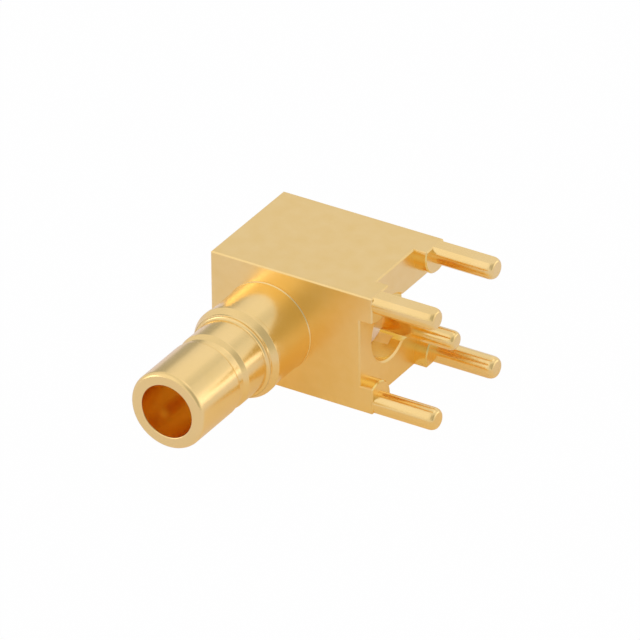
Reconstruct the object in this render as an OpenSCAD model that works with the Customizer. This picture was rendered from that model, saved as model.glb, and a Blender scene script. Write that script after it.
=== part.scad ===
// Right-angle coaxial jack for a circuit board, with a barrel that a plug snaps onto.
// The part lies on one side of its block. +X is the way the legs leave the block, -Y is the way
// the barrel points, and the origin is the centre of the four legs on the plane they seat on.

/* [Block] */
// Length of the block from its closed end to the seating plane
body_len = 8.3; // [7.6:0.05:10]
// Depth of the block, from the barrel face to the rear face
body_depth = 6.15; // [6.1:0.05:7.5]
// Width of the block across its two side faces
body_width = 5.9; // [5.8:0.05:7]
// Flat that is broken onto every outer edge of the block
edge_break = 0.06; // [0.02:0.01:0.15]

/* [Legs] */
// Pitch of the four legs, both ways
leg_pitch = 5.08; // [4.9:0.02:5.12]
// Diameter of a leg
leg_d = 1.04; // [0.9:0.01:1.1]
// Length of a leg past the seating plane
leg_len = 3.05; // [2:0.05:5]
// Length of the rounded tip of a leg
leg_tip = 0.34; // [0.2:0.02:0.5]
// Diameter of the round standoff that carries each leg
standoff_d = 2; // [1.6:0.05:2.3]
// Height of the standoffs over the floor between them
standoff_h = 0.64; // [0.4:0.02:0.9]

/* [Well] */
// Diameter of the well on the board side
well_d = 3.08; // [2.9:0.02:3.2]
// Distance from the tail pin to the middle of the well, towards the barrel
well_offset = 0.46; // [0.2:0.02:0.6]
// Chamfer round the mouth of the well
well_chamfer = 0.08; // [0.05:0.01:0.15]
// Depth of the well and its slot below the floor
well_depth = 1.56; // [1.3:0.02:1.7]
// Width of the slot that runs from the well out through the rear face
slot_width = 2.4; // [2:0.05:2.6]

/* [Barrel] */
// Height of the barrel's axis over the seating plane
axis_height = 5.33; // [5.25:0.05:5.5]
// Length of the barrel from its front edge to the block
barrel_len = 8.45; // [8:0.05:11]
// Outer diameter of the barrel's tube and its neck
tube_d = 3.71; // [3.66:0.01:3.76]
// Length of the tube, up to the snap groove
tube_len = 3.12; // [2.8:0.02:3.3]
// Width of the snap groove at its bottom
groove_width = 0.42; // [0.3:0.02:0.6]
// Depth of the snap groove
groove_depth = 0.16; // [0.08:0.01:0.2]
// Distance from the front edge to the collar's rim
collar_at = 5.74; // [5.6:0.02:6.2]
// Diameter of the collar at its rim
collar_d = 4.42; // [4.38:0.02:4.6]
// Diameter of the step in front of the collar's rim
step_d = 4.06; // [3.9:0.02:4.2]
// Diameter of the barrel's root, between the collar and the block
root_d = 4.32; // [4.2:0.02:4.36]
// Diameter of the barrel's bore at its mouth
mouth_d = 2.54; // [2.4:0.02:2.7]
// Length of the rounding on the front edge
front_round = 0.15; // [0.08:0.01:0.2]
// Diameter of the spigot that is pressed into the block
spigot_d = 3.8; // [3.6:0.02:3.9]
// Length of the spigot
spigot_len = 1.5; // [1.2:0.05:1.6]

/* [Contacts] */
// Diameter of the centre pin where it mates
pin_d = 0.51; // [0.45:0.01:0.6]
// Depth of the centre pin's tip below the front edge
pin_recess = 2.4; // [2:0.05:3]
// Diameter of the centre contact behind its pin
contact_d = 1.5; // [1.4:0.05:1.6]
// Diameter of the tail pin
tail_d = 0.9; // [0.8:0.01:1]
// Length of the tail pin past the seating plane
tail_len = 2.5; // [2:0.05:4]

/* [Insulators] */
// Depth of the front insulator's face below the front edge
nose_recess = 5.4; // [5.1:0.05:5.7]
// Thickness of the front insulator before the shoulder of the centre contact
nose_wall = 0.5; // [0.3:0.05:0.8]
// Depth below the front edge at which the bore widens for the front insulator
widen_recess = 6.25; // [6:0.05:6.6]
// Diameter of the widened bore, and of the hollow round the joint of the two contacts
hollow_d = 3; // [2.8:0.05:3.1]
// Diameter of the insulator round the tail pin
bush_d = 2.8; // [2.6:0.05:2.9]
// Height of that insulator over the bottom of the well
bush_rise = 0.26; // [0.1:0.02:0.4]

/* [Hidden] */
$fn = 64;

GOLD = "#e0c28e";
INSULATOR = "#f3efe4";

// Planes and axes that the pieces share
seat_x = 0;
floor_x = seat_x - standoff_h;
well_x = floor_x - well_depth;
axis_x = seat_x - axis_height;
front_y = -body_depth / 2;
rear_y = body_depth / 2;
mouth_y = front_y - barrel_len;

// The contact ends this far past the tail pin, and the hollow this far past the contact
contact_end = 0.45;
hollow_end = 0.5;
contact_past = tail_d / 2 + contact_end;
hollow_past = contact_past + hollow_end;
// The tail pin goes this far into the contact, past the contact's axis
tail_seat = 0.4;

// Small forms of the barrel
mouth_chamfer = 0.05;
groove_slope = 0.12;
shoulder_slope = 0.2;
shoulder_rise = 0.6 * groove_depth;
neck_taper = 0.4;
step_back = 0.36;
rim_slope = 0.2;
rim_land = 0.24;
rim_back = 0.05;
root_fillet = 0.06;

// Rounded tips of the two pins, and how far every tip narrows
pin_tip = 0.2;
tail_tip = 0.3;
tip_narrowing = 0.6;

// Stations along the barrel's axis, from its front edge
tail_t = -mouth_y;
spigot_t = barrel_len + spigot_len;

// Number of flats that stand for a quarter turn on a small rounding
arc_steps = 6;
// A cut reaches this far past the face that it opens
past = 1;

// Rectangle with its four corners broken
function broken_rect(w, h, c) = [
    [w / 2, c - h / 2], [w / 2, h / 2 - c], [w / 2 - c, h / 2], [c - w / 2, h / 2],
    [-w / 2, h / 2 - c], [-w / 2, c - h / 2], [c - w / 2, -h / 2], [w / 2 - c, -h / 2]
];

// Quarter of an ellipse from [r0, t0] to [r1, t1], which leaves along t and arrives along r
function crown(r0, t0, r1, t1) = [
    for (i = [0 : arc_steps])
        let (a = 90 * i / arc_steps) [r1 + (r0 - r1) * cos(a), t0 + (t1 - t0) * sin(a)]
];

function reversed(points) = [for (i = [len(points) - 1 : -1 : 0]) points[i]];

// Block from x0 to x1 with every outer edge broken
module broken_block(x0, x1) {
    len = x1 - x0;
    translate([(x0 + x1) / 2, 0, 0]) intersection() {
        linear_extrude(body_width, center = true) polygon(broken_rect(len, body_depth, edge_break));
        rotate([90, 0, 0]) linear_extrude(body_depth, center = true)
            polygon(broken_rect(len, body_width, edge_break));
        rotate([0, 90, 0]) linear_extrude(len, center = true)
            polygon(broken_rect(body_width, body_depth, edge_break));
    }
}

// Turned solid on the barrel's axis, from points of [radius, distance from the front edge]
module turned_on_barrel(profile) {
    translate([axis_x, mouth_y, 0]) rotate([-90, 0, 0]) rotate_extrude() polygon(profile);
}

// Round bar on the barrel's axis, between two distances from the front edge
module bar_on_barrel(d, t0, t1) {
    turned_on_barrel([[0, t0], [d / 2, t0], [d / 2, t1], [0, t1]]);
}

// Round bar along X from x0 to x1, with a rounded tip at x1
module tipped_bar(d, x0, x1, tip) {
    rotate([0, 90, 0]) rotate_extrude() polygon(concat(
        [[0, x0], [d / 2, x0]],
        crown(d / 2, x1 - tip, tip_narrowing * d / 2, x1),
        [[0, x1]]
    ));
}

// Puts its children at each of the four legs
module at_legs() {
    for (y = [-1, 1], z = [-1, 1])
        translate([0, y * leg_pitch / 2, z * leg_pitch / 2]) children();
}

module standoff() {
    r = standoff_d / 2;
    rotate([0, 90, 0]) rotate_extrude() polygon([
        [0, floor_x - standoff_h], [r, floor_x - standoff_h], [r, seat_x - edge_break],
        [r - edge_break, seat_x], [0, seat_x]
    ]);
}

// The legs are cut flush with the block's sides, which leaves a long flat on each one
module legs() {
    intersection() {
        at_legs() tipped_bar(leg_d, floor_x, leg_len, leg_tip);
        translate([floor_x, -body_depth / 2, -body_width / 2])
            cube([leg_len - floor_x + past, body_depth, body_width]);
    }
}

// Round well in the floor, with a slot that leaves through the rear face
module well() {
    translate([0, -well_offset, 0]) rotate([0, 90, 0]) {
        translate([0, 0, well_x]) cylinder(d = well_d, h = well_depth + past);
        translate([0, 0, floor_x - well_chamfer])
            cylinder(d1 = well_d, d2 = well_d + 4 * well_chamfer, h = 2 * well_chamfer);
    }
    translate([well_x, -well_offset, -slot_width / 2])
        cube([well_depth + past, well_offset + rear_y + past, slot_width]);
}

// Socket for the spigot, the hollow behind it, and the hole for the tail pin's insulator
module inner_bores() {
    bar_on_barrel(spigot_d, barrel_len - past, spigot_t);
    bar_on_barrel(hollow_d, barrel_len, tail_t + hollow_past);
    translate([axis_x, 0, 0]) rotate([0, 90, 0]) cylinder(d = bush_d, h = well_x - axis_x + past);
}

module housing_block() {
    color(GOLD) difference() {
        union() {
            broken_block(-body_len, floor_x);
            intersection() {
                broken_block(-body_len, seat_x);
                at_legs() standoff();
            }
            legs();
        }
        well();
        inner_bores();
    }
}

// Turned tube with a snap groove, a stepped collar and a spigot for the block
module barrel() {
    tube_r = tube_d / 2;
    groove_r = tube_r - groove_depth;
    shoulder_t = tube_len + groove_slope + groove_width;
    neck_t = shoulder_t + shoulder_slope;
    step_t = collar_at - step_back;
    cove = (step_d - tube_d) / 2;
    front = [[mouth_d / 2 + mouth_chamfer, 0]];
    front_edge = reversed(crown(tube_r, front_round, tube_r - front_round, 0));
    groove = [
        [tube_r, tube_len], [groove_r, tube_len + groove_slope], [groove_r, shoulder_t],
        [groove_r + shoulder_rise, neck_t], [tube_r, neck_t + neck_taper]
    ];
    step = crown(tube_r, step_t - cove, step_d / 2, step_t);
    rim = [
        [step_d / 2, collar_at - rim_slope], [collar_d / 2, collar_at],
        [collar_d / 2, collar_at + rim_land], [root_d / 2, collar_at + rim_land + rim_back]
    ];
    root = [
        [root_d / 2, barrel_len - root_fillet], [root_d / 2 + root_fillet, barrel_len],
        [spigot_d / 2, barrel_len], [spigot_d / 2, spigot_t]
    ];
    bore = [
        [hollow_d / 2, spigot_t], [hollow_d / 2, widen_recess], [mouth_d / 2, widen_recess],
        [mouth_d / 2, mouth_chamfer]
    ];
    color(GOLD) turned_on_barrel(concat(front, front_edge, groove, step, rim, root, bore));
}

// Mating pin, its thicker body, and the cross hole that takes the tail pin
module centre_contact() {
    pin_r = pin_d / 2;
    tip = reversed(crown(pin_r, pin_recess + pin_tip, tip_narrowing * pin_r, pin_recess));
    shoulder_t = nose_recess + nose_wall;
    color(GOLD) difference() {
        turned_on_barrel(concat(
            [[0, pin_recess]], tip, [[pin_r, shoulder_t], [contact_d / 2, shoulder_t]],
            [[contact_d / 2, tail_t + contact_past], [0, tail_t + contact_past]]
        ));
        translate([axis_x - tail_seat, 0, 0]) rotate([0, 90, 0])
            cylinder(d = tail_d, h = tail_seat + contact_d);
    }
}

// Pin for the board, joined to the centre contact at a right angle
module tail_pin() {
    color(GOLD) tipped_bar(tail_d, axis_x - tail_seat, tail_len, tail_tip);
}

// Stepped sleeve that fills the barrel behind its mating space and holds the centre contact
module front_insulator() {
    color(INSULATOR) turned_on_barrel([
        [pin_d / 2, nose_recess], [mouth_d / 2, nose_recess], [mouth_d / 2, widen_recess],
        [hollow_d / 2, widen_recess], [hollow_d / 2, spigot_t], [contact_d / 2, spigot_t],
        [contact_d / 2, nose_recess + nose_wall], [pin_d / 2, nose_recess + nose_wall]
    ]);
}

// Bush that keeps the tail pin clear of the block
module tail_insulator() {
    foot_x = axis_x + hollow_d / 2;
    color(INSULATOR) rotate([0, 90, 0]) rotate_extrude() polygon([
        [tail_d / 2, foot_x], [bush_d / 2, foot_x], [bush_d / 2, well_x + bush_rise],
        [tail_d / 2, well_x + bush_rise]
    ]);
}

housing_block();
barrel();
centre_contact();
tail_pin();
front_insulator();
tail_insulator();
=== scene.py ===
"""Looks of the right-angle coaxial jack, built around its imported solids.

The part lies on one side of its block: +X is the way the legs leave the block, -Y is the way
the barrel points and +Z is up. Lengths are written in millimetres and turned to metres once.
"""

import logging
import math
from dataclasses import dataclass
from enum import Enum

import bpy
import numpy as np
from mathutils import Matrix, Vector

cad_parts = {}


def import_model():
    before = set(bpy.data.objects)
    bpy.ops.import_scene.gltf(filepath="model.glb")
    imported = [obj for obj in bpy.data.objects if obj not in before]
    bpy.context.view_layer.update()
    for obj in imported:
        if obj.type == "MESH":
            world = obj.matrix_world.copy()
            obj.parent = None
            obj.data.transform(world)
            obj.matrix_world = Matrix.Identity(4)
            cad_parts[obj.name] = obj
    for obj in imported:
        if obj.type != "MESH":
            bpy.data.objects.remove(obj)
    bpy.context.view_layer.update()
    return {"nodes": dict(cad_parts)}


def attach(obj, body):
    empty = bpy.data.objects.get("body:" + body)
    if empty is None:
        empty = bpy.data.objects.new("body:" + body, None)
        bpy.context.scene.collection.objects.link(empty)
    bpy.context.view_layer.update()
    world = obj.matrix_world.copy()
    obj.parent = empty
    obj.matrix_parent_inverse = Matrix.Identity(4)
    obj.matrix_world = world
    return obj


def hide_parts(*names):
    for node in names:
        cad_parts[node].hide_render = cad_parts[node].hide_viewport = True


MM = 0.001

# Allowance, in millimetres, where the centre of a face is set against a wall or a plane
ALLOWANCE = 0.01

# Nearly every value of a noise texture lies between these two
NOISE_LOW, NOISE_HIGH = 0.3, 0.7

# Sockets of a Mix node that mixes colours
MIX_FACTOR, MIX_A, MIX_B, MIX_RESULT = 0, 6, 7, 2

WHITE = (1.0, 1.0, 1.0, 1.0)

log = logging.getLogger("coaxial_jack")


class Marks(Enum):
    """The way a metal surface was made, which sets the lines that it carries.

    Each value is how fast the lines follow each other along X, Y and Z: 1 is the cutter's
    feed, a small share draws them long that way and 0 draws them out without end.
    """

    # Fine feed lines round the barrel's axis
    TURNED_ON_BARREL = (0, 1, 0)
    # Fine feed lines round the pin's axis
    TURNED_ON_PIN = (1, 0, 0)
    # Faint cutter lines, longest along X
    MILLED = (0.04, 1, 0.12)


# Colours and nodes


def linear(hex_code: str) -> tuple[float, float, float, float]:
    """Turns an sRGB hex colour into a linear one, by the curve of the sRGB standard.

    A dark value is divided by 12.92, and above 0.04045 the curve is a power of 2.4.

    Args:
        hex_code: The colour, such as "#f3d28f".

    Returns:
        Linear red, green, blue and an alpha of 1.
    """
    srgb = np.array([int(hex_code[i:i + 2], 16) for i in (1, 3, 5)]) / 255
    rgb = np.where(srgb <= 0.04045, srgb / 12.92, ((srgb + 0.055) / 1.055) ** 2.4)
    return (*rgb.tolist(), 1.0)


def add_node(tree: bpy.types.NodeTree, kind: str, settings: dict | None = None,
             links: dict | None = None) -> bpy.types.Node:
    """Adds a node, gives it its settings and links its inputs.

    Args:
        tree: The node tree that the node goes into.
        kind: The node's type name.
        settings: Values of inputs, by name or number, and of the node's own properties.
        links: Output sockets, by the name or number of the input that each one feeds.

    Returns:
        The new node.
    """
    node = tree.nodes.new(kind)
    for key, value in (settings or {}).items():
        if isinstance(key, int) or key in node.inputs:
            node.inputs[key].default_value = value
        else:
            setattr(node, key, value)
    for key, socket in (links or {}).items():
        tree.links.new(socket, node.inputs[key])
    return node


def new_material(name: str) -> tuple[bpy.types.Material, bpy.types.NodeTree]:
    """Makes an empty node material.

    Args:
        name: The material's name.

    Returns:
        The material and its node tree.
    """
    material = bpy.data.materials.new(name)
    material.use_nodes = True
    material.node_tree.nodes.clear()
    return material, material.node_tree


# Finishes


@dataclass(frozen=True)
class GoldPlate:
    """Gold plate on machined brass: a warm mirror that the tool marks under it soften.

    The plating follows every line of the cut, so the eye sees a soft-edged reflection, drawn
    out a little across the tool marks, and a colour that deepens where metal faces metal; in
    the bore and on the inner walls that deeper colour is also painted in, as painted bounce
    light.
    """

    name: str
    marks: Marks
    colour: str = "#fcde99"
    deep_colour: str = "#f8d88a"
    # A finish stays wholly under or wholly over about 0.27. Below that the render's denoiser
    # takes metal for a mirror, and a finish that crosses it comes out grainy.
    roughness: float = 0.16
    roughness_spread: float = 0.05
    # The cutter's feed, which is finer on the real part; it is drawn this coarse so that it shows
    line_spacing: float = 0.11
    line_height: float = 0.0005
    # Grain of the plating, about the size of the brass crystals under it
    grain: float = 0.09
    grain_height: float = 0.0004
    # Patches where the bath left the plating a little thicker
    patch: float = 1.6

    def material(self) -> bpy.types.Material:
        """Builds the shader: colour patches, uneven polish, cutter lines and grain.

        Returns:
            The material.
        """
        material, tree = new_material(self.name)
        coords = add_node(tree, "ShaderNodeTexCoord").outputs["Object"]
        stretch = [share / (self.line_spacing * MM) for share in self.marks.value]
        along = add_node(tree, "ShaderNodeMapping", {"Scale": stretch}, {"Vector": coords})
        lines = add_node(tree, "ShaderNodeTexNoise", {"Scale": 1.0, "Detail": 2.0},
                         {"Vector": along.outputs[0]})
        grain = add_node(tree, "ShaderNodeTexNoise",
                         {"Scale": 1 / (self.grain * MM), "Detail": 2.0}, {"Vector": coords})
        patch = add_node(tree, "ShaderNodeTexNoise",
                         {"Scale": 1 / (self.patch * MM), "Detail": 3.0}, {"Vector": coords})
        colour = add_node(tree, "ShaderNodeMix",
                          {"data_type": "RGBA", MIX_A: linear(self.colour),
                           MIX_B: linear(self.deep_colour)},
                          {MIX_FACTOR: patch.outputs["Fac"]})
        polish = add_node(tree, "ShaderNodeMapRange",
                          {"From Min": NOISE_LOW, "From Max": NOISE_HIGH,
                           "To Min": self.roughness - self.roughness_spread,
                           "To Max": self.roughness + self.roughness_spread},
                          {"Value": grain.outputs["Fac"]})
        line_bump = add_node(tree, "ShaderNodeBump",
                             {"Strength": 1.0, "Distance": self.line_height * MM},
                             {"Height": lines.outputs["Fac"]})
        bump = add_node(tree, "ShaderNodeBump",
                        {"Strength": 1.0, "Distance": self.grain_height * MM},
                        {"Height": grain.outputs["Fac"], "Normal": line_bump.outputs[0]})
        shader = add_node(tree, "ShaderNodeBsdfPrincipled", {"Metallic": 1.0},
                          {"Base Color": colour.outputs[MIX_RESULT],
                           "Roughness": polish.outputs[0], "Normal": bump.outputs[0]})
        add_node(tree, "ShaderNodeOutputMaterial", links={"Surface": shader.outputs[0]})
        return material


@dataclass(frozen=True)
class MachinedFluoropolymer:
    """White PTFE, turned from bar: waxy, so light goes a little way into it and softens it."""

    name: str = "Machined white PTFE"
    colour: str = "#fdf6e6"
    shade: str = "#f8ecd4"
    roughness: float = 0.42
    # Faint clouds, where the pressed powder of the bar is a little denser
    cloud: float = 0.6
    # Marks that the cutter leaves in the soft plastic
    mark_spacing: float = 0.12
    mark_height: float = 0.002
    # The share of the light that goes in, and how far it goes
    scatter: float = 0.3
    scatter_reach: float = 0.5

    def material(self) -> bpy.types.Material:
        """Builds the shader: faint clouding, soft cutter marks and shallow scattering.

        Returns:
            The material.
        """
        material, tree = new_material(self.name)
        coords = add_node(tree, "ShaderNodeTexCoord").outputs["Object"]
        clouds = add_node(tree, "ShaderNodeTexNoise",
                          {"Scale": 1 / (self.cloud * MM), "Detail": 4.0}, {"Vector": coords})
        colour = add_node(tree, "ShaderNodeMix",
                          {"data_type": "RGBA", MIX_A: linear(self.colour),
                           MIX_B: linear(self.shade)},
                          {MIX_FACTOR: clouds.outputs["Fac"]})
        marks = add_node(tree, "ShaderNodeTexNoise",
                         {"Scale": 1 / (self.mark_spacing * MM), "Detail": 1.0},
                         {"Vector": coords})
        bump = add_node(tree, "ShaderNodeBump",
                        {"Strength": 1.0, "Distance": self.mark_height * MM},
                        {"Height": marks.outputs["Fac"]})
        shader = add_node(tree, "ShaderNodeBsdfPrincipled",
                          {"Roughness": self.roughness, "Subsurface Weight": self.scatter,
                           "Subsurface Radius": (self.scatter_reach,) * 3,
                           "Subsurface Scale": MM},
                          {"Base Color": colour.outputs[MIX_RESULT], "Normal": bump.outputs[0]})
        add_node(tree, "ShaderNodeOutputMaterial", links={"Surface": shader.outputs[0]})
        return material


# Surfaces


def rounded(corners: np.ndarray, radii: np.ndarray, steps: int = 7,
            hold: float = 0.008) -> np.ndarray:
    """Rounds every corner of a closed outline with an arc of a circle.

    At a corner, a and b are the unit directions to the corners before and after it. The arc's
    centre lies on their bisector, and the arc turns evenly from the foot of its radius on the
    first edge to the foot on the second. One more point past each foot keeps the edge flat.

    Args:
        corners: The corners in order, N by 2.
        radii: The radius at each corner, N long.
        steps: Points on each arc.
        hold: Distance from each foot to the point past it.

    Returns:
        The rounded outline, with steps + 2 points a corner.
    """
    before = np.roll(corners, 1, axis=0) - corners
    after = np.roll(corners, -1, axis=0) - corners
    a = before / np.linalg.norm(before, axis=1, keepdims=True)
    b = after / np.linalg.norm(after, axis=1, keepdims=True)
    half = np.arccos(np.clip((a * b).sum(1), -1, 1)) / 2
    foot = (radii / np.tan(half))[:, None]
    middle = a + b
    middle /= np.linalg.norm(middle, axis=1, keepdims=True)
    centre = corners + middle * (radii / np.sin(half))[:, None]
    first, last = corners + a * foot, corners + b * foot
    sweep = (math.pi - 2 * half)[:, None, None]
    way = np.linspace(0, 1, steps)[None, :, None]
    arc = (np.sin((1 - way) * sweep) * (first - centre)[:, None]
           + np.sin(way * sweep) * (last - centre)[:, None]) / np.sin(sweep) + centre[:, None]
    held = np.concatenate([(first + a * hold)[:, None], arc, (last + b * hold)[:, None]], 1)
    return held.reshape(-1, 2)


def quad_faces(rows: int, columns: int, closed_rows: bool) -> np.ndarray:
    """Faces of a grid whose columns always run round and close.

    The face at (i, j) joins (i, j), (i, j + 1), (i + 1, j + 1) and (i + 1, j), counted round
    where the grid closes.

    Args:
        rows: Number of rows of vertices.
        columns: Number of columns of vertices.
        closed_rows: Whether the last row is joined to the first.

    Returns:
        The faces, M by 4.
    """
    i = np.arange(rows if closed_rows else rows - 1)[:, None]
    j = np.arange(columns)[None, :]
    below, beside = (i + 1) % rows, (j + 1) % columns
    grid = [i * columns + j, i * columns + beside, below * columns + beside, below * columns + j]
    return np.stack(grid, -1).reshape(-1, 4)


def fill_mesh(name: str, vertices: np.ndarray, quads: np.ndarray,
              triangles: np.ndarray | None = None) -> bpy.types.Object:
    """Puts whole arrays of vertices and faces into a new smooth mesh.

    Args:
        name: The piece's name.
        vertices: Places in millimetres, N by 3.
        quads: Faces of four corners.
        triangles: Faces of three corners, if any.

    Returns:
        The piece, linked to the scene.
    """
    mesh = bpy.data.meshes.new(name)
    triangles = np.zeros((0, 3), int) if triangles is None else triangles
    corners = np.concatenate([quads.ravel(), triangles.ravel()]).astype(np.int32)
    sizes = np.concatenate([np.full(len(quads), 4), np.full(len(triangles), 3)])
    starts = np.concatenate([[0], np.cumsum(sizes)[:-1]]).astype(np.int32)
    mesh.vertices.add(len(vertices))
    mesh.vertices.foreach_set("co", (vertices * MM).astype(np.float32).ravel())
    mesh.loops.add(len(corners))
    mesh.loops.foreach_set("vertex_index", corners)
    mesh.polygons.add(len(sizes))
    mesh.polygons.foreach_set("loop_start", starts)
    mesh.polygons.foreach_set("use_smooth", np.ones(len(sizes), bool))
    mesh.update(calc_edges=True)
    mesh.validate()
    piece = bpy.data.objects.new(name, mesh)
    bpy.context.scene.collection.objects.link(piece)
    return piece


def revolved(name: str, profile: np.ndarray, centre: Vector, axis: Vector, side: Vector,
             columns: int, poles: bool) -> bpy.types.Object:
    """Turns a profile round an axis.

    A point (r, t) of the profile at the angle u goes to centre + axis * t
    + (side * cos u + across * sin u) * r, where across = axis x side.

    Args:
        name: The piece's name.
        profile: Radius and station of each point, in order, so that the metal lies on its left
            when the radius is drawn to the right and the station upwards.
        centre: The place of station 0 on the axis, in millimetres.
        axis: Unit direction of the axis.
        side: Unit direction square to the axis, where u is 0.
        columns: Number of places round the axis.
        poles: Whether the profile starts and ends on the axis; else it closes on itself.

    Returns:
        The closed piece.
    """
    across = np.array(axis.cross(side))
    u = np.linspace(0, 2 * math.pi, columns, endpoint=False)
    round_axis = np.cos(u)[:, None] * np.array(side) + np.sin(u)[:, None] * across
    ring = profile[1:-1] if poles else profile
    points = (np.array(centre) + ring[:, None, 1:] * np.array(axis)
              + ring[:, None, :1] * round_axis[None])
    vertices = points.reshape(-1, 3)
    quads = quad_faces(len(ring), columns, closed_rows=not poles)
    triangles = None
    if poles:
        tips = np.array(centre) + profile[[0, -1], 1:] * np.array(axis)
        vertices = np.concatenate([vertices, tips])
        here = np.arange(columns)
        beside = (here + 1) % columns
        start, end = len(vertices) - 2, len(vertices) - 1
        last_row = (len(ring) - 1) * columns
        triangles = np.concatenate([
            np.stack([np.full(columns, start), beside, here], -1),
            np.stack([np.full(columns, end), last_row + here, last_row + beside], -1),
        ])
    return fill_mesh(name, vertices, quads, triangles)


def crown(r0: float, t0: float, r1: float, t1: float, steps: int = 12) -> np.ndarray:
    """Quarter of an ellipse that leaves (r0, t0) along the axis and reaches (r1, t1) across it.

    Args:
        r0: Radius at the start.
        t0: Station at the start.
        r1: Radius at the end.
        t1: Station at the end.
        steps: Number of points.

    Returns:
        The points (r1 + (r0 - r1) cos a, t0 + (t1 - t0) sin a) for a from 0 to 90 degrees.
    """
    a = np.linspace(0, math.pi / 2, steps)
    return np.stack([r1 + (r0 - r1) * np.cos(a), t0 + (t1 - t0) * np.sin(a)], -1)


# Dressing


def dress(piece: bpy.types.Object, material: bpy.types.Material) -> None:
    """Gives a piece one material in place of any that it has.

    Args:
        piece: The piece.
        material: Its material.
    """
    piece.data.materials.clear()
    piece.data.materials.append(material)


def face_centres(piece: bpy.types.Object) -> np.ndarray:
    """Centres of a piece's faces.

    Args:
        piece: The piece.

    Returns:
        X, Y and Z of the centres in millimetres, as three rows.
    """
    at = np.empty(len(piece.data.polygons) * 3, np.float32)
    piece.data.polygons.foreach_get("center", at)
    return at.reshape(-1, 3).T / MM


def mark_faces(piece: bpy.types.Object, material: bpy.types.Material, chosen: np.ndarray) -> None:
    """Gives some faces of a dressed piece a material of their own.

    Args:
        piece: The piece.
        material: The faces' material.
        chosen: Whether each face gets it.
    """
    piece.data.materials.append(material)
    index = np.empty(len(chosen), np.int32)
    piece.data.polygons.foreach_get("material_index", index)
    index[chosen] = len(piece.data.materials) - 1
    piece.data.polygons.foreach_set("material_index", index)


# The part


@dataclass
class Block:
    """The housing block with its standoffs, legs and well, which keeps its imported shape."""

    node: str = "housing_block"
    # The floor between the standoffs and the bottom of the well; the standoffs end at X = 0
    floor_x: float = -0.64
    well_x: float = -2.2
    # The well, and half the width of the slot that leaves it through the rear face
    well_y: float = -0.46
    well_r: float = 1.54
    slot_half: float = 1.2
    # Half the block's depth along Y and half its width along Z
    half_depth: float = 3.075
    half_width: float = 2.95
    # A face of a standoff nearer than this to a side face of the block is part of its flush cut
    flush_margin: float = 0.07
    finish: GoldPlate = GoldPlate("Gold plate on milled brass", Marks.MILLED, "#fee19c",
                                  "#f8d686", roughness=0.3, roughness_spread=0.02,
                                  patch=0.7)
    # Painted bounce light: a deeper, more saturated gold than the outside's, for the light that
    # turns between the gold walls of the well, the slot and the standoffs
    painted_bounce_inner_finish: GoldPlate = GoldPlate("Gold plate on inner milled walls with painted bounce light", Marks.MILLED,
                                        "#fbdf8a", "#f5d378", roughness=0.22,
                                        grain_height=0.0002, patch=0.7)
    leg_finish: GoldPlate = GoldPlate("Gold plate on turned legs", Marks.TURNED_ON_PIN,
                                      "#fee19c", "#f8d686", roughness=0.19)

    def build(self, nodes: dict[str, bpy.types.Object]) -> list[bpy.types.Object]:
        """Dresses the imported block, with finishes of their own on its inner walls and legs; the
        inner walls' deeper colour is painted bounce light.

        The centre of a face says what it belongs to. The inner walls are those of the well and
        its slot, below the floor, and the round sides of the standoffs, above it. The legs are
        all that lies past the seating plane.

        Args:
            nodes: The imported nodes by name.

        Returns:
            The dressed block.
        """
        piece = nodes[self.node]
        dress(piece, self.finish.material())
        x, y, z = face_centres(piece)
        in_well = np.hypot(y - self.well_y, z) < self.well_r + ALLOWANCE
        in_slot = (y > self.well_y) & (np.abs(z) < self.slot_half + ALLOWANCE)
        below_floor = (x > self.well_x - ALLOWANCE) & (x < self.floor_x - ALLOWANCE)
        on_standoffs = ((x > self.floor_x + ALLOWANCE) & (x < -ALLOWANCE)
                        & (np.abs(y) < self.half_depth - self.flush_margin)
                        & (np.abs(z) < self.half_width - self.flush_margin))
        # The inner walls get the gold with painted bounce light
        mark_faces(piece, self.painted_bounce_inner_finish.material(),
                   below_floor & (in_well | in_slot) | on_standoffs)
        mark_faces(piece, self.leg_finish.material(), x > ALLOWANCE)
        return [piece]


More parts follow.
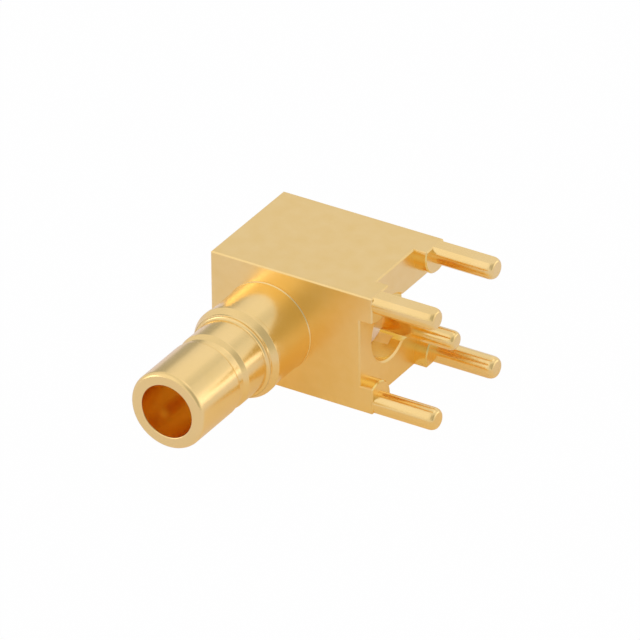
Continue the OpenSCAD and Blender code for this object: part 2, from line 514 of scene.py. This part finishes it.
@dataclass
class Barrel:
    """The turned barrel: tube, latching groove, neck, stepped collar, root and bore.

    A station, such as collar_at or widen_at, is a distance back from the front edge.
    """

    node: str = "barrel"
    axis_x: float = -5.33
    mouth_y: float = -11.525
    # From the front edge to the block
    length: float = 8.45
    # The tube, and the groove with its steep front wall and its softer rear shoulder
    tube_r: float = 1.855
    tube_len: float = 3.12
    groove_r: float = 1.695
    groove_wall: float = 0.12
    groove_floor: float = 0.37
    groove_rise: float = 0.03
    shoulder_len: float = 0.25
    # The step and the slope to the collar begin this far before collar_at and the slope ends
    # this far past it
    step_r: float = 2.03
    step_before: float = 0.36
    slope_before: float = 0.26
    slope_past: float = 0.04
    # The collar with its narrow land, and the bevel behind it
    collar_r: float = 2.21
    collar_at: float = 5.74
    rim_land: float = 0.24
    rim_bevel: float = 0.05
    # The root, with its small flare at the block
    root_r: float = 2.16
    flare_len: float = 0.07
    flare_out: float = 0.06
    # The bore, which widens behind the mating space, and the spigot in the block's socket
    mouth_r: float = 1.27
    widen_at: float = 6.25
    hollow_r: float = 1.5
    spigot_r: float = 1.9
    spigot_end: float = 9.95
    # Radii of the edges and corners, from the front edge back, and of all the others
    bore_edge: float = 0.06
    front_edge: float = 0.22
    groove_edge: float = 0.13
    shoulder_corner: float = 0.2
    neck_corner: float = 0.05
    cove: float = 0.14
    step_edge: float = 0.025
    rim_edge: float = 0.03
    root_corner: float = 0.02
    flare_edge: float = 0.015
    plain_edge: float = 0.04
    # The front edge keeps the outside's finish as far in as this
    lip_len: float = 0.03
    columns: int = 256
    finish: GoldPlate = GoldPlate("Gold plate on turned brass", Marks.TURNED_ON_BARREL,
                                  roughness=0.22)
    # Painted bounce light: a deeper gold than the outside's, for the light that turns between the
    # walls of the bore
    painted_bounce_bore_finish: GoldPlate = GoldPlate("Gold plate in the bore with painted bounce light", Marks.TURNED_ON_BARREL,
                                        "#f8dd86", "#f3d276", roughness=0.22)

    def profile(self) -> np.ndarray:
        """Outline of the cut barrel, from the mouth back along the outside and out by the bore.

        Returns:
            Radius and station of each point, in millimetres.
        """
        groove_at = self.tube_len + self.groove_wall
        shoulder_at = groove_at + self.groove_floor
        step_at = self.collar_at - self.step_before
        rim_end = self.collar_at + self.rim_land
        corners = np.array([
            # Radius, station and the radius of the edge or corner
            (self.mouth_r, 0, self.bore_edge),
            (self.tube_r, 0, self.front_edge),
            (self.tube_r, self.tube_len, self.groove_edge),
            (self.groove_r, groove_at, self.plain_edge),
            (self.groove_r + self.groove_rise, shoulder_at, self.shoulder_corner),
            (self.tube_r, shoulder_at + self.shoulder_len, self.neck_corner),
            (self.tube_r, step_at, self.cove),
            (self.step_r, step_at, self.step_edge),
            (self.step_r, self.collar_at - self.slope_before, self.rim_edge),
            (self.collar_r, self.collar_at + self.slope_past, self.plain_edge),
            (self.collar_r, rim_end, self.rim_edge),
            (self.root_r, rim_end + self.rim_bevel, self.root_corner),
            (self.root_r, self.length - self.flare_len, self.plain_edge),
            (self.root_r + self.flare_out, self.length, self.flare_edge),
            (self.spigot_r, self.length, self.flare_edge),
            (self.spigot_r, self.spigot_end, self.plain_edge),
            (self.hollow_r, self.spigot_end, self.plain_edge),
            (self.hollow_r, self.widen_at, self.plain_edge),
            (self.mouth_r, self.widen_at, self.plain_edge),
        ])
        return rounded(corners[:, :2], corners[:, 2])

    def build(self, nodes: dict[str, bpy.types.Object]) -> list[bpy.types.Object]:
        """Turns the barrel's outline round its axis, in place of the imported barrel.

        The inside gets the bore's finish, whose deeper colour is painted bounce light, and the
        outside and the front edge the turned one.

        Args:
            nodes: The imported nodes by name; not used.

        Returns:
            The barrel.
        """
        piece = revolved("barrel_turned", self.profile(),
                         centre=Vector((self.axis_x, self.mouth_y, 0)), axis=Vector((0, 1, 0)),
                         side=Vector((0, 0, 1)), columns=self.columns, poles=False)
        dress(piece, self.finish.material())
        x, y, z = face_centres(piece)
        inside = ((np.hypot(x - self.axis_x, z) < self.hollow_r + ALLOWANCE)
                  & (y > self.mouth_y + self.lip_len))
        # The bore gets the gold with painted bounce light
        mark_faces(piece, self.painted_bounce_bore_finish.material(), inside)
        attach(piece, "root")
        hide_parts(self.node)
        return [piece]


@dataclass
class TailPin:
    """The pin for the board, with a rounded tip."""

    node: str = "tail_pin"
    pin_r: float = 0.45
    # The inner end with its broken edge, and the tip, which narrows to a small flat
    start_x: float = -5.73
    start_break: float = 0.03
    end_x: float = 2.5
    tip_len: float = 0.3
    tip_r: float = 0.27
    # One more ring this far before the tip keeps the shading of the bar straight
    hold: float = 0.01
    columns: int = 96
    finish: GoldPlate = GoldPlate("Gold plate on a turned pin", Marks.TURNED_ON_PIN)

    def profile(self) -> np.ndarray:
        """Outline of the pin, from the centre of its inner end to the centre of its tip.

        Returns:
            Radius and X, in millimetres.
        """
        tip_x = self.end_x - self.tip_len
        bar = np.array([
            (0, self.start_x), (self.pin_r - self.start_break, self.start_x),
            (self.pin_r, self.start_x + self.start_break),
            (self.pin_r, tip_x - self.hold),
        ])
        tip = crown(self.pin_r, tip_x, self.tip_r, self.end_x)
        return np.concatenate([bar, tip, [(0, self.end_x)]])

    def build(self, nodes: dict[str, bpy.types.Object]) -> list[bpy.types.Object]:
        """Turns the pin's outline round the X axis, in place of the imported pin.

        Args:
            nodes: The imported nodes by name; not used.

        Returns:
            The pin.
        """
        piece = revolved("tail_pin_turned", self.profile(), centre=Vector((0, 0, 0)),
                         axis=Vector((1, 0, 0)), side=Vector((0, 0, 1)), columns=self.columns,
                         poles=True)
        dress(piece, self.finish.material())
        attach(piece, "root")
        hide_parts(self.node)
        return [piece]


@dataclass
class Inside:
    """The pieces that only the openings show: the centre contact and the two insulators."""

    contact: str = "centre_contact"
    insulators: tuple[str, ...] = ("front_insulator", "tail_insulator")
    # Painted shade: a darker gold than the rest, for the shade on the contact deep in the barrel
    painted_shade_contact_finish: GoldPlate = GoldPlate("Gold plate on a turned contact with painted shade",
                                          Marks.TURNED_ON_BARREL, "#f3cf86", "#ecc274",
                                          roughness=0.3, roughness_spread=0.02)
    insulator_finish: MachinedFluoropolymer = MachinedFluoropolymer()

    def build(self, nodes: dict[str, bpy.types.Object]) -> list[bpy.types.Object]:
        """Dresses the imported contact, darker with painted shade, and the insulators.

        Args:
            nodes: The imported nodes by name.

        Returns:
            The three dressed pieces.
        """
        # The contact's darker gold is painted shade
        dress(nodes[self.contact], self.painted_shade_contact_finish.material())
        plastic = self.insulator_finish.material()
        for name in self.insulators:
            dress(nodes[name], plastic)
        return [nodes[self.contact], *(nodes[name] for name in self.insulators)]


# The studio


def direction(azimuth: float, elevation: float) -> Vector:
    """Unit direction (sin a cos e, -cos a cos e, sin e), for the azimuth a and the elevation e.

    Args:
        azimuth: Degrees round from -Y towards +X.
        elevation: Degrees above the level.

    Returns:
        The direction.
    """
    a, e = math.radians(azimuth), math.radians(elevation)
    return Vector((math.sin(a) * math.cos(e), -math.cos(a) * math.cos(e), math.sin(e)))


@dataclass(frozen=True)
class Panel:
    """A lit or unlit panel of the light tent, as a soft round patch of its wall.

    Its light is added to the wall's, whole up to the angle inner from its middle and fading
    to nothing at the angle outer. Angles are in degrees.
    """

    azimuth: float
    elevation: float
    inner: float
    outer: float
    light: float


def own_white(tree: bpy.types.NodeTree, camera: float, mirrors: float) -> bpy.types.NodeSocket:
    """How far a ray sees the background's own plain white instead of the lit tent or floor.

    Args:
        tree: The node tree of the tent or the floor.
        camera: The share for rays from the camera.
        mirrors: The share for rays that metal reflects or glass lets through.

    Returns:
        The socket with the share, 0 for light that only falls on things.
    """
    ray = add_node(tree, "ShaderNodeLightPath").outputs
    bent = add_node(tree, "ShaderNodeMath", {"operation": "ADD"},
                    {0: ray["Is Glossy Ray"], 1: ray["Is Transmission Ray"]})
    by_mirrors = add_node(tree, "ShaderNodeMath", {"operation": "MULTIPLY", 1: mirrors},
                          {0: bent.outputs[0]})
    return add_node(tree, "ShaderNodeMath", {"operation": "MULTIPLY_ADD", 1: camera},
                    {0: ray["Is Camera Ray"], 2: by_mirrors.outputs[0]}).outputs[0]


@dataclass
class Studio:
    """A white tent and a white floor, with the camera of the picture."""

    # The height of the floor under the block, and half the side of its square
    floor_z: float = -2.95
    floor_half: float = 600.0
    # The floor's colour for the light that falls on it, and the white that the metal mirrors
    card: str = "#f8f7f5"
    card_mirrored: str = "#eeeafd"
    # A painted pool of warm light on the floor beside the part, standing in for the light that
    # gold throws there, which only the metal mirrors. It is whole up to the inner distance from
    # its middle and gone at the outer distance.
    painted_glow: str = "#f2dab0"
    painted_glow_at: tuple[float, float] = (-1.0, -3.5)
    painted_glow_inner: float = 4.5
    painted_glow_outer: float = 10.0
    wall_light: float = 0.85
    wall_colour: str = "#ede8f8"
    # Shares of the background's own white in what the camera sees of the tent and the floor,
    # where the floor keeps a little for its shadow
    wall_seen: float = 1.0
    floor_seen: float = 0.985
    # The same shares in what the metal mirrors
    wall_white: float = 0.35
    floor_white: float = 0.45
    panels: tuple[Panel, ...] = (
        Panel(-49, 2, inner=8, outer=17, light=2.9),
        Panel(-38, 40, inner=14, outer=42, light=0.3),
        Panel(56, 28, inner=18, outer=40, light=-0.56),
        Panel(-134, 11, inner=11, outer=22, light=-0.64),
        Panel(137, -1, inner=6, outer=23, light=0.95),
        Panel(118, 14, inner=10, outer=30, light=0.4),
        Panel(142, 58, inner=7, outer=18, light=0.45),
        Panel(162, 39, inner=4, outer=12, light=-0.24),
        Panel(-172, 47, inner=8, outer=26, light=0.17),
    )
    # The camera's direction and distance from the point that it aims at, and its roll
    azimuth: float = 31.766
    elevation: float = 30.731
    roll: float = -0.607
    distance: float = 450.148
    aim: tuple[float, float, float] = (-4.0, -2.0, 0.0)
    lens: float = 575.33
    sensor: float = 36.0
    shift: tuple[float, float] = (0.02032, 0.005)
    # Nothing nearer to the camera than this is seen
    nearest: float = 10.0
    # Gold faces gold in the barrel and the well, so light turns there many times
    bounces: int = 14
    # No blur of the reflections that follow a soft bounce, which keeps the bore's deep colour
    glossy_blur: float = 0.0

    def build_walls(self) -> None:
        """Makes the world: an even white tent with brighter and darker panels.

        Each panel adds light times smoothstep of the cosine of the angle from its middle. Rays
        from the camera see plain white, and mirrored rays see a share of it.
        """
        world = bpy.data.worlds.new("White tent")
        world.use_nodes = True
        tree = world.node_tree
        tree.nodes.clear()
        outwards = add_node(tree, "ShaderNodeTexCoord").outputs["Generated"]
        total = add_node(tree, "ShaderNodeValue")
        total.outputs[0].default_value = self.wall_light
        light = total.outputs[0]
        for panel in self.panels:
            middle = direction(panel.azimuth, panel.elevation)
            dot = add_node(tree, "ShaderNodeVectorMath",
                           {"operation": "DOT_PRODUCT", 1: middle}, {0: outwards})
            part = add_node(tree, "ShaderNodeMapRange",
                            {"interpolation_type": "SMOOTHSTEP",
                             "From Min": math.cos(math.radians(panel.outer)),
                             "From Max": math.cos(math.radians(panel.inner)),
                             "To Min": 0.0, "To Max": panel.light},
                            {"Value": dot.outputs["Value"]})
            light = add_node(tree, "ShaderNodeMath", {"operation": "ADD"},
                             {0: light, 1: part.outputs[0]}).outputs[0]
        walls = add_node(tree, "ShaderNodeBackground", {"Color": linear(self.wall_colour)},
                         {"Strength": light})
        white = add_node(tree, "ShaderNodeBackground", {"Color": WHITE, "Strength": 1.0})
        mixed = add_node(tree, "ShaderNodeMixShader",
                         links={0: own_white(tree, self.wall_seen, self.wall_white),
                                1: walls.outputs[0], 2: white.outputs[0]})
        add_node(tree, "ShaderNodeOutputWorld", links={"Surface": mixed.outputs[0]})
        bpy.context.scene.world = world

    def build_floor(self) -> None:
        """Makes the floor: a card with a white of its own for the camera and for the metal.

        The camera sees that white plain. The metal mirrors it in the card's mirrored colour,
        which turns to a painted warm pool of light near the part by smoothstep of the distance
        from that pool's middle.
        """
        half = self.floor_half
        corners = np.array([(-half, -half, self.floor_z), (half, -half, self.floor_z),
                            (half, half, self.floor_z), (-half, half, self.floor_z)])
        floor = fill_mesh("studio_floor", corners, np.array([[0, 1, 2, 3]]))
        material, tree = new_material("White studio card")
        card = add_node(tree, "ShaderNodeBsdfDiffuse", {"Color": linear(self.card)})
        coords = add_node(tree, "ShaderNodeTexCoord").outputs["Object"]
        # Painted warm light on the floor near the part, which only the metal mirrors
        painted_glow_middle = Vector((*self.painted_glow_at, self.floor_z)) * MM
        away = add_node(tree, "ShaderNodeVectorMath",
                        {"operation": "DISTANCE", 1: painted_glow_middle}, {0: coords})
        fade = add_node(tree, "ShaderNodeMapRange",
                        {"interpolation_type": "SMOOTHSTEP",
                         "From Min": self.painted_glow_inner * MM, "From Max": self.painted_glow_outer * MM},
                        {"Value": away.outputs["Value"]})
        ray = add_node(tree, "ShaderNodeLightPath")
        painted_glow_mix = add_node(tree, "ShaderNodeMix",
                        {"data_type": "RGBA", MIX_A: linear(self.painted_glow),
                         MIX_B: linear(self.card_mirrored)}, {MIX_FACTOR: fade.outputs[0]})
        tint = add_node(tree, "ShaderNodeMix", {"data_type": "RGBA", MIX_B: WHITE},
                        {MIX_FACTOR: ray.outputs["Is Camera Ray"],
                         MIX_A: painted_glow_mix.outputs[MIX_RESULT]})
        white = add_node(tree, "ShaderNodeEmission", {"Strength": 1.0},
                         {"Color": tint.outputs[MIX_RESULT]})
        mixed = add_node(tree, "ShaderNodeMixShader",
                         links={0: own_white(tree, self.floor_seen, self.floor_white),
                                1: card.outputs[0], 2: white.outputs[0]})
        add_node(tree, "ShaderNodeOutputMaterial", links={"Surface": mixed.outputs[0]})
        dress(floor, material)

    def build_camera(self) -> None:
        """Sets the camera where the picture was taken from.

        The camera looks against back, its direction from the aim, and its own right and up are
        turned by the roll.
        """
        azimuth, roll = math.radians(self.azimuth), math.radians(self.roll)
        back = direction(self.azimuth, self.elevation)
        right = Vector((math.cos(azimuth), math.sin(azimuth), 0))
        up = back.cross(right)
        rolled_right = right * math.cos(roll) + up * math.sin(roll)
        rolled_up = up * math.cos(roll) - right * math.sin(roll)
        place = (Vector(self.aim) + back * self.distance) * MM
        data = bpy.data.cameras.new("Picture camera")
        data.lens = self.lens
        data.sensor_width = self.sensor
        data.shift_x, data.shift_y = self.shift
        data.clip_start = self.nearest * MM
        camera = bpy.data.objects.new("Picture camera", data)
        turn = Matrix((rolled_right, rolled_up, back)).transposed().to_4x4()
        camera.matrix_world = Matrix.Translation(place) @ turn
        bpy.context.scene.collection.objects.link(camera)
        bpy.context.scene.camera = camera

    def build(self) -> None:
        """Builds the floor, the tent and the camera, and leaves the colours plain."""
        self.build_floor()
        self.build_walls()
        self.build_camera()
        scene = bpy.context.scene
        scene.view_settings.view_transform = "Standard"
        scene.cycles.max_bounces = self.bounces
        scene.cycles.glossy_bounces = self.bounces
        scene.cycles.blur_glossy = self.glossy_blur


def main() -> None:
    """Builds the part's sub-assemblies and the studio, and logs the vertices of each piece."""
    logging.basicConfig(level=logging.INFO, format="%(name)s: %(message)s")
    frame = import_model()
    for assembly in (Block(), Barrel(), TailPin(), Inside()):
        for piece in assembly.build(frame["nodes"]):
            log.info("%s: %d vertices", piece.name, len(piece.data.vertices))
    Studio().build()


if __name__ == "__main__":
    main()
